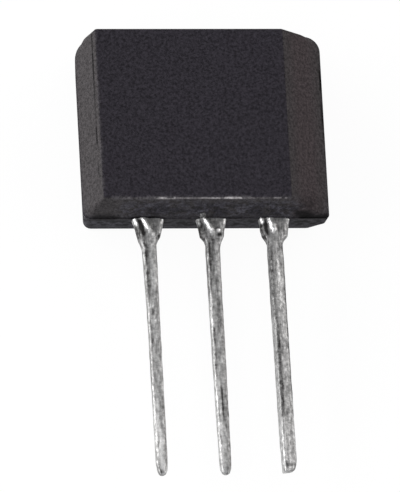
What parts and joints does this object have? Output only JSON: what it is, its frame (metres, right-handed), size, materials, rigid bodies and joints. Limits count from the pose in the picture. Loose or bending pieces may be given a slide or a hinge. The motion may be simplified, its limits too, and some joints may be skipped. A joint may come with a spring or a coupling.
{
  "type": "thyristor",
  "caption": "Black epoxy thyristor lying on its flat back, one long bevel beside its front face and a row of straight solder-dipped leads with broad shoulders.",
  "frame": {"origin": "middle of the flat back face that the package lies on", "axes": "+X to the right across the leads seen from the front, +Y away from the lead tips, +Z out of the front face, upwards as it lies"},
  "size_m": [0.0098, 0.0185, 0.0032],
  "materials": {
    "epoxy": "fine matte mould grain",
    "dipped_copper": "dull hot-dipped tin-lead over copper",
    "soft_solder": "dull solder",
    "silicon": "polished, passivated rim",
    "bond_aluminium": "drawn wire"
  },
  "bodies": {
    "root": {"moulded_body": "epoxy", "cathode_lead": "dipped_copper", "anode_lead": "dipped_copper", "gate_lead": "dipped_copper", "die_solder": "soft_solder", "silicon_die": "silicon", "cathode_wire_1": "bond_aluminium", "cathode_wire_2": "bond_aluminium", "gate_wire": "bond_aluminium"}
  },
  "joints": []
}
